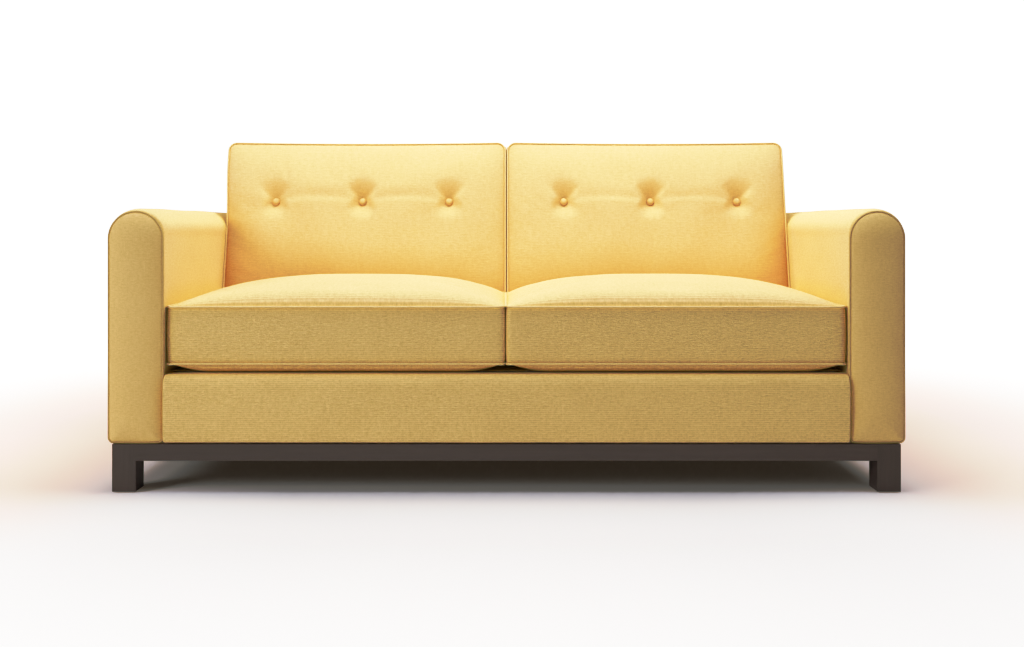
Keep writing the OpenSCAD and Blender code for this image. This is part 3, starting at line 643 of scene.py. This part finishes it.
def seat_cushion(side, sign):
    """A boxed seat cushion with a high crown, shaped to meet the back cushion."""
    w, d = SEAT_W + 0.0012, SEAT_D
    seed = 21 if sign > 0 else 22

    def rise(x, y):
        across = np.clip(1 - np.abs(2 * x / w) ** np.where(x * sign < 0, 4.0, 3.0), 0, 1)
        back = y + d / 2
        roll = np.sqrt(1 - (1 - np.clip(back / 0.042, 0, 1)) ** 2)
        climb = 1 - (1 - np.clip(back / 0.27, 0, 1)) ** 2
        rear = 1 - 0.25 * smooth_step((back / d - 0.62) / 0.38)
        edge = np.clip((d - back) / 0.015, 0, 1) ** 0.5
        soft = 1 + 0.02 * bump_noise(x, y, 0.35, seed)
        return SEAT_RISE * across ** 0.8 * (0.5 * roll + 0.5 * climb) * rear * edge * soft

    def drop(x, y):
        inward = np.clip((w / 2 - np.abs(x)) / 0.10, 0, 1)
        along = np.clip((d / 2 - np.abs(y)) / 0.034, 0, 1)
        hang = SEAT_BELLY + 0.0029 * smooth_step((-0.385 - (y + SEAT_LO.y + d / 2)) / 0.006)
        return hang * (1 - (1 - inward) ** 2) ** 1.05 * (1 - (1 - along) ** 2) ** 0.5

    shell, bottom_ids, rows = cushion(w, d, rise, drop, 0.013, (112, 76), SEAT_RINGS, 0.0028)
    p = np.array(shell.points)
    p += [sign * SEAT_X, SEAT_LO.y + SEAT_D / 2, SEAT_LOW]
    # above the zip the rear leans back to lie just in front of the back cushion
    upward = smooth_step((p[:, 2] - (ZIP_HI.z + 0.008)) / 0.05)
    rearward = smooth_step((p[:, 1] + 0.03) / (SEAT_HI.y + 0.03))
    limit = back_limit(p[:, 0] - sign * BACK_X, np.minimum(p[:, 2], 0.52)) - 0.0045
    p[:, 1] += rearward * upward * np.maximum(0, limit - SEAT_HI.y)
    shell.points = p.tolist()
    ob = shell.made(f"seat_cushion_{side}", front_cloth)
    at_side = np.abs(p[:, 0] - sign * SEAT_X) > w / 2 - 0.020
    off_front = np.nonzero((p[:, 1] > SEAT_LO.y + 0.004) | at_side)[0]
    boxing = np.unique(rows[1:-1])
    held = set(rows[0]) | set(rows[-1]) | set(bottom_ids.ravel()) | (set(boxing) & set(off_front))
    settle(ob, held, 0.02, 3.0, 0.006, share=0.2)
    p = points_of(ob)
    lowest = np.where(p[:, 1] < BORDER_HI.y - 0.004, BORDER_TOP + 0.0005, DECK_HI.z + 0.0004)
    p[:, 2] = np.maximum(p[:, 2], lowest)
    p[:, 0] = sign * np.clip(sign * p[:, 0], 0.0006, INNER - 0.0006)
    # both cushions sit a touch to the left where they meet
    p[:, 0] -= 0.0022 * (1 - np.abs(p[:, 0]) / INNER)
    # the channel for the zip
    in_zip = (p[:, 1] > SEAT_HI.y - 0.004) & (p[:, 2] > ZIP_LO.z - 0.001) & (p[:, 2] < ZIP_HI.z + 0.001)
    in_zip &= (sign * p[:, 0] > ZIP_LO.x - 0.003) & (sign * p[:, 0] < ZIP_HI.x + 0.003)
    p[in_zip, 1] = ZIP_LO.y - 0.0006
    place_points(ob, p)
    return ob, rows

SEAT_RISE = 0.0595
SEAT_WELT_OUT = np.array([0.0012, 0.0036, 0.0])
for side, sign in SIDES:
    body = f"seat_cushion_{side}"
    ob, rows = seat_cushion(side, sign)
    solid(ob, f"seat_cover_{side}", f"seat_core_{side}", body=body, subdivide=0, fill=0.8)
    for row, where in ((0, "lower"), (-1, "upper")):
        seam_cord(f"seat_welt_{where}_{side}", ob, rows[row][:-1], 0.0025, body, SEAT_WELT_OUT)

def tufting(x, up):
    """How far the buttons pull the back cushion's front in, from 0 to 1. x is from the sofa's middle.
    Above each button the pull fans out between two folds."""
    pull = np.zeros_like(x)
    for bx in BUTTON_XS:
        dx, dz = x - bx, up - BUTTON_UP
        r, angle = np.hypot(dx, dz), np.arctan2(np.abs(dx), dz)
        fan = smooth_step((1.16 - angle) / 0.46)
        below = smooth_step((angle - 1.5) / 0.9)
        reach = 0.026 + 0.036 * fan + 0.024 * below
        s = 1 - np.clip((r - 0.008) / reach, 0, 1)
        pull = np.maximum(pull, 0.97 * s ** (1.75 - 0.32 * fan))
    # a shallow valley arches from each button to the next
    for left, right in zip(BUTTON_XS[:-1], BUTTON_XS[1:]):
        t = np.clip((x - left) / (right - left), 0, 1)
        arch = 0.013 * 4 * t * (1 - t)
        inside = smooth_step((x - left) / 0.02 + 0.5) * smooth_step((right - x) / 0.02 + 0.5)
        off = up - BUTTON_UP - arch
        wide = np.where(off > 0, 0.020, 0.007)
        pull = pull + 0.12 * np.exp(-(off / wide) ** 2) * inside * (1 - pull)
    return pull

def back_cushion(side, sign):
    """A boxed back cushion with a crowned, buttoned front."""
    w, h = BACK_W - 0.0025, BACK_TOP - BACK_FOOT
    middle = (BACK_TOP + BACK_FOOT) / 2
    seed = 31 if sign > 0 else 32

    def front(x, y):
        up = y + middle
        proud = back_face(x, up) * (1 + 0.04 * bump_noise(x, y, 0.30, seed)) * BACK_RISE
        floor = -BUTTON_BACK - 0.001
        return proud + (floor - proud) * tufting(sign * x + BACK_X, up)

    def rear(x, y):
        crown = 0.004 * np.clip(1 - np.abs(2 * x / w) ** 2.5, 0, 1)
        crown = crown * np.clip(1 - np.abs(2 * y / h) ** 2.5, 0, 1)
        for bx in BUTTON_XS:
            from_button = np.hypot(sign * x + BACK_X - bx, y + middle - BUTTON_UP)
            crown = crown - 0.009 * np.exp(-(from_button / 0.022) ** 2)
        return crown

    shell, bottom_ids, rows = cushion(w, h, front, rear, 0.022, (136, 100), steps(0, BACK_T, 14), 0.005)
    p = np.array(shell.points)
    up = p[:, 1] + middle
    # behind their front seams the two cushions fill the room between them,
    # and their top edge sags in the middle
    inner = 0.5 - p[:, 0] * sign / w
    boxed = smooth_step(np.minimum(p[:, 2], BACK_T - p[:, 2]) / 0.018 - 0.3)
    fill_gap = -0.0085 * boxed * smooth_step((inner - 0.97) / 0.02)
    outward = 0.0075 if sign < 0 else 0.0005
    out_more = outward * smooth_step((up - 0.18) / 0.2) * np.clip(0.6 - inner, 0, 0.5) / 0.5
    p[:, 0] += sign * (BACK_X + fill_gap + out_more)
    from_middle = (p[:, 0] - sign * BACK_X) / (w / 2)
    sag = 0.004 * smooth_step((up - 0.30) / 0.13) * np.clip(1 - np.abs(from_middle) ** 2, 0, 1)
    local = np.stack([p[:, 0], BACK_T - p[:, 2], up - sag], 1)
    world = from_lean(local)
    world[:, 2] = np.maximum(world[:, 2], BACK_LO.z)
    shell.points = world.tolist()
    ob = shell.made(f"back_cushion_{side}", cover_cloth)
    near = np.zeros(len(local), bool)
    for bx in BUTTON_XS:
        near |= (np.hypot(sign * local[:, 0] - bx, up - BUTTON_UP) < 0.010) & (local[:, 1] < 0.05)
    held = set(rows[0]) | set(rows[-1]) | set(bottom_ids.ravel()) | set(np.nonzero(near)[0])
    settle(ob, held, 0.02, 3.0, 0.008, share=0.3)
    p = points_of(ob)
    p[:, 2] = np.maximum(p[:, 2], DECK_HI.z + 0.0004)
    above_arm = smooth_step((p[:, 2] - 0.60) / 0.05)
    p[:, 0] = sign * np.clip(sign * p[:, 0], 0.0006, INNER - 0.0006 + 0.012 * above_arm)
    # inside, one cushion's side is hollow where the other's is full
    depth = to_lean(p)[:, 1]
    inside = smooth_step((depth - 0.03) / 0.03) * smooth_step((0.14 - depth) / 0.03)
    p[:, 0] += 0.0016 * inside * smooth_step((0.05 - np.abs(p[:, 0])) / 0.04)
    # behind the seat cushion the front keeps to the room it has
    behind = p[:, 1] < 0.12
    floor_y = SEAT_HI.y + 0.0016
    low = behind & (p[:, 2] < 0.40)
    p[low, 1] = np.maximum(p[low, 1], floor_y)
    place_points(ob, p)
    return ob, rows

def button(name, centre, out, profile):
    """A round covered button on the lean. out is -1 in front and 1 behind."""
    shell = Shell()
    turn = steps(0, math.tau, 41)[:-1]
    rings = [[[centre[0] + r * math.cos(t), centre[1] + y * out, centre[2] + r * math.sin(t)] for t in turn]
             for r, y in profile]
    ids = shell.add(from_lean(np.array(rings)))
    ids = looped(ids)
    cloth = np.array([[[r * math.cos(t), r * math.sin(t)] for t in [*turn, math.tau]] for r, _ in profile])
    shell.panel(ids, cloth)
    for end in (0, -1):
        shell.hub(ids[end], cloth[end])
    return shell.made(name, cover_cloth)

# Button profiles: radius and height, from the middle of the face round to the middle of the back
DOME = [(0.0012, 0.0108), (0.0040, 0.0103), (0.0068, 0.0090), (0.0095, 0.0066), (0.0112, 0.0036),
        (0.0120, 0.0008), (0.0114, -0.0012), (0.006, -0.0016), (0.0012, -0.0016)]
FLAT = [(0.0012, 0.0026), (0.006, 0.0026), (0.0105, 0.0022), (0.0120, 0.0010), (0.0118, 0.0), (0.006, 0.0),
        (0.0012, 0.0)]
BACK_RISE = 0.97
for side, sign in SIDES:
    body = f"back_cushion_{side}"
    ob, rows = back_cushion(side, sign)
    solid(ob, f"back_cushion_cover_{side}", f"back_cushion_core_{side}", body=body, subdivide=0, fill=0.7)
    for row, where in ((0, "rear"), (-1, "front")):
        seam_cord(f"back_welt_{where}_{side}", ob, rows[row][:-1], 0.0024, body, 0.0018)
    for i, bx in enumerate(BUTTON_XS):
        knob = button(f"button_{i + 1}_{side}", (sign * bx, BUTTON_BACK, BUTTON_UP), -1, DOME)
        solid(knob, f"back_cushion_tufting_{side}", body=body)
        knob = button(f"rear_button_{i + 1}_{side}", (sign * bx, REAR_BUTTON, BUTTON_UP), 1, FLAT)
        solid(knob, body=body)
        through = steps(BUTTON_BACK - 0.001, REAR_BUTTON + 0.001, 12)
        line = from_lean([[sign * bx, y, BUTTON_UP] for y in through])
        solid(tube(f"twine_{i + 1}_{side}", line, 0.0012, welt_cloth), body=body, subdivide=0)

# ---- Back shell ----

def back_shell():
    """The upholstered back: a leaning inside, a rounded top and an upright outside."""
    r = 0.018
    y_top = SHELL_LO.y + (SHELL_HI.z - 0.255) * math.tan(LEAN)
    top, rear = SHELL_HI.z, SHELL_HI.y - 0.003
    inside = [(SHELL_LO.y + (z - 0.255) * math.tan(LEAN), z) for z in steps(0.255, top - r, 30)]
    turn = steps(math.pi, math.pi / 2, 8)[1:]
    front_corner = [(y_top + r + r * math.cos(a), top - r + r * math.sin(a)) for a in turn]
    flat = [(y, top) for y in steps(y_top + r, rear - r, 6)[1:-1]]
    rear_corner = [(rear - r + r * math.cos(a), top - r + r * math.sin(a)) for a in steps(math.pi / 2, 0, 8)]
    outside = [(rear, z) for z in steps(top - r, SHELL_LO.z + 0.001, 40)[1:]]
    section = np.array(inside + front_corner + flat + rear_corner + outside)
    is_outside = np.arange(len(section)) >= len(section) - len(outside) - 2
    lengths = path_lengths(section)
    end = SHELL_HI.x
    round_x = end - 0.010 + 0.010 * np.sin(steps(0, math.pi / 2, 7))
    seam = np.array([0.0, 0.0018, 0.0045, 0.009])
    half = np.concatenate([seam, steps(0.02, end - 0.011, 60), round_x])
    xs = mirrored(half)
    toward = section.mean(0) - section
    toward /= np.linalg.norm(toward, axis=1)[:, None]
    v = np.clip((section[:, 1] - FOOT) / (top - FOOT), 0, 1)
    rows = []
    for x in xs:
        past = max(0.0, (abs(x) - (end - 0.010)) / 0.010)
        inset = 0.010 * (1 - math.sqrt(max(0.0, 1 - past * past)))
        p = section + toward * inset
        across = 1 - min(1, abs(x / end)) ** 4
        pad = 0.005 * across * np.sin(v * math.pi) ** 0.6
        pad = pad + 0.0008 * bump_noise(np.full(len(v), x), v * 0.7, 0.35, 41)
        pad = pad - 0.0016 * math.exp(-(x / 0.0022) ** 2)
        p[:, 0] += np.where(is_outside, pad * smooth_step((1 - past)), 0)
        rows.append(np.stack([np.full(len(p), x), p[:, 0], p[:, 1]], 1))
    shell = Shell()
    grid = np.array(rows)
    ids = shell.add(grid)
    ids_loop = looped(ids)
    lengths = np.append(lengths, lengths[-1] + 0.25)
    shell.panel(ids_loop, cloth_grid(xs, lengths))
    for end_row in (0, -1):
        shell.hub(ids_loop[end_row], np.concatenate([grid[end_row], grid[end_row][:1]])[:, [1, 2]])
    solid(shell.made("back_shell", cover_cloth), "back_cover", subdivide=0, fill=0.9)
    # the welt runs up one side of the outside, along the top and down the other side
    sunk, corner = 0.0035, 0.016
    side_x, high = end - sunk, top - sunk
    half_path = [(-side_x, z) for z in steps(SHELL_LO.z + 0.002, high - corner, 40)]
    half_path += [(-side_x + corner - corner * math.cos(a), high - corner + corner * math.sin(a))
                  for a in steps(0, math.pi / 2, 8)[1:]]
    over = [(x, high) for x in steps(-side_x + corner, side_x - corner, 80)[1:-1]]
    path = half_path + over + [(-x, z) for x, z in reversed(half_path)]
    cord = tube("back_shell_welt", [(x, rear - sunk + 0.001, z) for x, z in path], 0.0026, welt_cloth)
    solid(cord, slot="welt", subdivide=0)

back_shell()

# ---- Deck and dust cover ----

def thin_sheet(name, xs, ys, top, thick, material, slot, keep=lambda x, y: True):
    """A stretched sheet with a finite thickness over a grid. top gives its upper face's height."""
    shell = Shell()
    x, y = np.meshgrid(xs, ys, indexing="ij")
    z = top(x, y)
    upper = shell.add(np.stack([x, y, z], -1))
    lower = shell.add(np.stack([x, y, z - thick], -1))
    cells = {(i, j) for i in range(len(xs) - 1) for j in range(len(ys) - 1)
             if keep((xs[i] + xs[i + 1]) / 2, (ys[j] + ys[j + 1]) / 2)}
    for i, j in sorted(cells):
        cell = np.ix_([i, i + 1], [j, j + 1])
        flat = np.stack([x[cell], y[cell]], -1)
        shell.panel(upper[cell], flat)
        shell.panel(lower[cell], flat, flip=True)
        for (a, b), beyond in (
                (((i, j), (i + 1, j)), (i, j - 1)), (((i + 1, j), (i + 1, j + 1)), (i + 1, j)),
                (((i + 1, j + 1), (i, j + 1)), (i, j + 1)), (((i, j + 1), (i, j)), (i - 1, j))):
            if beyond not in cells:
                ids = np.array([[lower[a], lower[b]], [upper[a], upper[b]]])
                flat = np.array([[(x[a], y[a]), (x[b], y[b])]] * 2)
                shell.panel(ids, flat, flip=True)
    ob = shell.made(name, material)
    used = np.zeros(len(shell.points), bool)
    for face in shell.faces:
        used[face] = True
    if not used.all():
        bm = bmesh.new()
        bm.from_mesh(ob.data)
        bmesh.ops.delete(bm, geom=[v for v in bm.verts if not v.link_faces], context="VERTS")
        bm.to_mesh(ob.data)
        bm.free()
    return solid(ob, slot=slot, subdivide=0)

def deck_height(x, y):
    """The deck cloth dips a little between its quilting lines."""
    dip = 0.0007 * np.sin(x * math.pi / 0.06) ** 2 * np.sin(y * math.pi / 0.06) ** 2
    return DECK_HI.z - 0.0003 - dip

deck = thin_sheet("deck", steps(DECK_LO.x, DECK_HI.x, 161), steps(DECK_LO.y, DECK_HI.y, 62), deck_height,
                  0.0008, deck_twill, "deck_cloth")
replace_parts(deck, "deck_cloth")

# The dust cloth is cut away this far from each leg
LEG_GAP = 0.003
dust_x = np.unique(np.concatenate([steps(0, LEG_LO.x - LEG_GAP, 40), [DUST_HI.x]]))
dust_y = np.unique(np.concatenate([steps(0, -LEG_HI.y - LEG_GAP, 22), [DUST_HI.y]]))

def dust_height(x, y):
    """Taut at the rails and the stretcher, and sagging a little between them."""
    across = np.clip((np.abs(x) - 0.02) / (DUST_HI.x - 0.02), 0, 1)
    sag = np.sin(across * math.pi) * np.cos(y / DUST_HI.y * math.pi / 2)
    return DUST_HI.z - 0.0035 * sag

dust = thin_sheet("dust_cloth", mirrored(dust_x), mirrored(dust_y), dust_height, 0.0006, dust_felt,
                  "dust_cloth",
                  keep=lambda x, y: abs(x) < LEG_LO.x - LEG_GAP or abs(y) < -LEG_HI.y - LEG_GAP)
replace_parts(dust, "dust_cover")

def deck_padding():
    """The batting between the springs and the deck cloth, with soft edges."""
    shell = Shell()
    w, d = PAD_HI.x - PAD_LO.x, PAD_HI.y - PAD_LO.y
    a, b = np.meshgrid(steps(-1, 1, 81), steps(-1, 1, 33), indexing="ij")
    x, y = rounded_plan(a, b, w / 2, d / 2, 0.012)
    edge = np.minimum(w / 2 - np.abs(x), d / 2 - np.abs(y))
    round_off = 0.008 * (1 - np.sqrt(1 - (1 - np.clip(edge / 0.012, 0, 1)) ** 2))
    y_middle = (PAD_LO.y + PAD_HI.y) / 2
    uneven = 0.0006 * bump_noise(x, y, 0.09, 51)
    top = np.stack([x, y + y_middle, PAD_HI.z - 0.0012 - round_off + uneven], -1)
    low = np.stack([x, y + y_middle, PAD_LO.z + 0.0006 + round_off], -1)
    flat = np.stack([x, y], -1)
    top_ids, low_ids = shell.add(top), shell.add(low)
    shell.panel(top_ids, flat)
    shell.panel(low_ids, flat, flip=True)
    loops = np.array([rim(low_ids), rim(top_ids)])
    travel = np.linspace(0, 2 * (w + d), loops.shape[1])
    shell.panel(loops, cloth_grid([0, PAD_HI.z - PAD_LO.z], travel)[..., ::-1])
    return solid(shell.made("deck_padding", batting), "deck_pad", slot="foam", subdivide=0, fill=0.8)

deck_padding()

# ---- Carried-over pieces ----

def bevelled(ob, width, segments=2):
    ease = ob.modifiers.new("eased edges", "BEVEL")
    ease.width, ease.segments, ease.limit_method = width, segments, "ANGLE"

def paint(name, material):
    nodes[name].data.materials.clear()
    nodes[name].data.materials.append(material)

BASE_TIMBER = ("base_rail", "leg_", "base_stretcher")
FRAME_TIMBER = ("frame_", "arm_front_post", "arm_rear_post", "arm_top_rail", "back_post", "back_top_rail",
                "corner")
UPRIGHT = ("leg_", "arm_front_post", "arm_rear_post", "back_post")
FRONT_TO_BACK = ("frame_side_rail", "frame_centre_rail", "arm_top_rail", "base_rail_left", "base_rail_right",
                 "base_stretcher")
for name, ob in nodes.items():
    axis = "Z" if name.startswith(UPRIGHT) else "Y" if name.startswith(FRONT_TO_BACK) else "X"
    if name.startswith(BASE_TIMBER):
        paint(name, base_wood[axis])
        bevelled(ob, 0.0012)
    elif name.startswith(FRAME_TIMBER):
        paint(name, frame_wood[axis])
for name, material in (("glides", glide_plastic), ("base_screws", steel), ("seat_springs", spring_steel),
                       ("spring_clips", steel), ("back_webbing", webbing), ("seat_zip_left", zip_tape),
                       ("seat_zip_right", zip_tape), ("seat_zip_slider_left", steel),
                       ("seat_zip_slider_right", steel)):
    paint(name, material)

# ---- Studio ----

def studio_floor():
    """A pale floor that runs out to plain white, with painted warm bounce light beside the sofa, in its
    colour and its glow, and only a dim painted glow under it.
    """
    size = 40.0
    me = bpy.data.meshes.new("floor")
    corners = [(-size, -size, 0), (size, -size, 0), (size, size, 0), (-size, size, 0)]
    me.from_pydata(corners, [], [(0, 1, 2, 3)])
    ob = bpy.data.objects.new("floor", me)
    scene.collection.objects.link(ob)
    material, tree, shader = new_material("studio_floor")

    def node(operation, *values):
        return math_node(tree, operation, *values)

    def fade(value, low, high, to_low=0.0, to_high=1.0):
        return remap(tree, value, low, high, to_low, to_high, interpolation_type="SMOOTHSTEP")

    place = add(tree, "ShaderNodeTexCoord").outputs["Object"]
    part = add(tree, "ShaderNodeSeparateXYZ", {0: place})
    depth = part.outputs["Y"]
    sideways, forwards = node("ABSOLUTE", part.outputs["X"]), node("ABSOLUTE", depth)
    # the distance from the middle of the sofa's footprint
    past_x = node("MAXIMUM", node("SUBTRACT", sideways, 0.35), 0.0)
    past_y = node("MAXIMUM", node("SUBTRACT", forwards, 0.30), 0.0)
    apart = add(tree, "ShaderNodeCombineXYZ", {0: past_x, 1: past_y}).outputs[0]
    away = add(tree, "ShaderNodeVectorMath", {0: apart}, operation="LENGTH").outputs["Value"]
    # painted bounce light: beside the sofa the floor's colour and glow turn warm, as light off the golden
    # cloth would make them
    painted_bounce = node("MULTIPLY", fade(sideways, 0.75, 1.1), fade(sideways, 1.1, 2.1, 1.0, 0.0))
    painted_bounce = node("MULTIPLY", painted_bounce, fade(depth, -1.0, -0.35))
    painted_bounce = node("MULTIPLY", painted_bounce, fade(depth, 0.8, 2.2, 1.0, 0.0))
    tree.links.new(mixed(tree, painted_bounce, (0.78, 0.755, 0.74), (0.80, 0.70, 0.62)), shader.inputs["Base Color"])
    shader.inputs["Roughness"].default_value = 0.75
    shader.inputs["Specular IOR Level"].default_value = 0.2
    # the white glow starts outside the footprint, and under the sofa there is only a little warm light
    outside = node("MAXIMUM", fade(sideways, 0.86, 0.98), fade(forwards, 0.36, 0.46))
    dim = node("MULTIPLY", node("SUBTRACT", 1.0, outside), 0.019)
    glow = node("MULTIPLY_ADD", remap(tree, away, 0.2, 2.6, 0.0, 1.5), outside, dim)
    seen = add(tree, "ShaderNodeLightPath").outputs["Is Camera Ray"]
    tree.links.new(node("MULTIPLY", glow, seen), shader.inputs["Emission Strength"])
    material.cycles.emission_sampling = "NONE"
    lit = mixed(tree, painted_bounce, (1, 0.98, 0.96), (1, 0.68, 0.48))
    tree.links.new(mixed(tree, outside, (1, 0.65, 0.42), lit), shader.inputs["Emission Color"])
    me.materials.append(material)

def area_light(name, place, target, size, power):
    data = bpy.data.lights.new(name, "AREA")
    data.shape = "RECTANGLE"
    data.size, data.size_y = size
    data.energy = power
    ob = bpy.data.objects.new(name, data)
    ob.location = place
    ob.rotation_euler = (Vector(target) - Vector(place)).to_track_quat("-Z", "Y").to_euler()
    scene.collection.objects.link(ob)
    return ob

def white_world(strength):
    """Even light all round, seen as plain white behind the floor."""
    world = bpy.data.worlds.new("studio")
    scene.world = world
    world.use_nodes = True
    tree = world.node_tree
    light = tree.nodes["Background"]
    light.inputs["Color"].default_value = (1, 1, 1, 1)
    light.inputs["Strength"].default_value = strength
    seen = add(tree, "ShaderNodeBackground", {"Color": (1, 1, 1, 1), "Strength": 1.5})
    ray = add(tree, "ShaderNodeLightPath")
    mix = add(tree, "ShaderNodeMixShader",
              {0: ray.outputs["Is Camera Ray"], 1: light.outputs[0], 2: seen.outputs[0]})
    tree.links.new(mix.outputs[0], tree.nodes["World Output"].inputs["Surface"])

def photographic(view):
    """A soft toe and shoulder, as a camera gives, with a little more contrast in the blue."""
    white = 1.45
    tones = ((0.03, 0.029), (0.07, 0.060), (0.13, 0.090), (0.19, 0.132), (0.30, 0.257), (0.40, 0.372),
             (0.50, 0.487), (0.60, 0.585), (0.72, 0.705), (0.85, 0.805), (1.00, 0.868), (1.14, 0.924),
             (1.25, 0.960))
    blues = ((0.05, 0.045), (0.095, 0.086), (0.13, 0.132), (0.16, 0.166), (0.22, 0.243), (0.33, 0.358),
             (0.55, 0.565), (0.85, 0.86))
    view.view_transform = "Standard"
    view.use_curve_mapping = True
    mapping = view.curve_mapping
    mapping.white_level = (white, white, white)
    combined = [(value / white, shown) for value, shown in tones]
    for line, points in ((mapping.curves[3], combined), (mapping.curves[2], blues)):
        line.points[0].location = (0, 0)
        line.points[-1].location = (1, 1)
        for point in points:
            line.points.new(*point)
    mapping.update()

studio_floor()
area_light("top_softbox", (0, -0.3, 2.5), (0, 0, 0), (3.0, 1.0), 41)
area_light("top_low_softbox", (0, 0.1, 1.8), (0, 0, 0), (1.8, 0.8), 15)
area_light("left_softbox", (-3.3, -2.6, 1.8), (0, 0, 0.4), (1.4, 1.4), 68)
area_light("right_softbox", (1.8, -0.7, 2.0), (-0.2, 0, 0.4), (1.0, 1.0), 9.4)
area_light("rear_softbox", (0, 2.6, 2.6), (0, 0, 0.5), (4.0, 1.2), 24)
area_light("front_fill", (0, -5.0, 1.2), (0, 0, 0.4), (4.0, 2.0), 4)
white_world(0.082)
photographic(scene.view_settings)

camera_data = bpy.data.cameras.new("camera")
camera = bpy.data.objects.new("camera", camera_data)
scene.collection.objects.link(camera)
camera.location = (0.0, FRONT - 2.55, 0.617)
camera.rotation_euler = (math.radians(90), 0, 0)
camera_data.lens = 39.06
camera_data.shift_x = 0.0054
camera_data.shift_y = -0.0962
scene.camera = camera
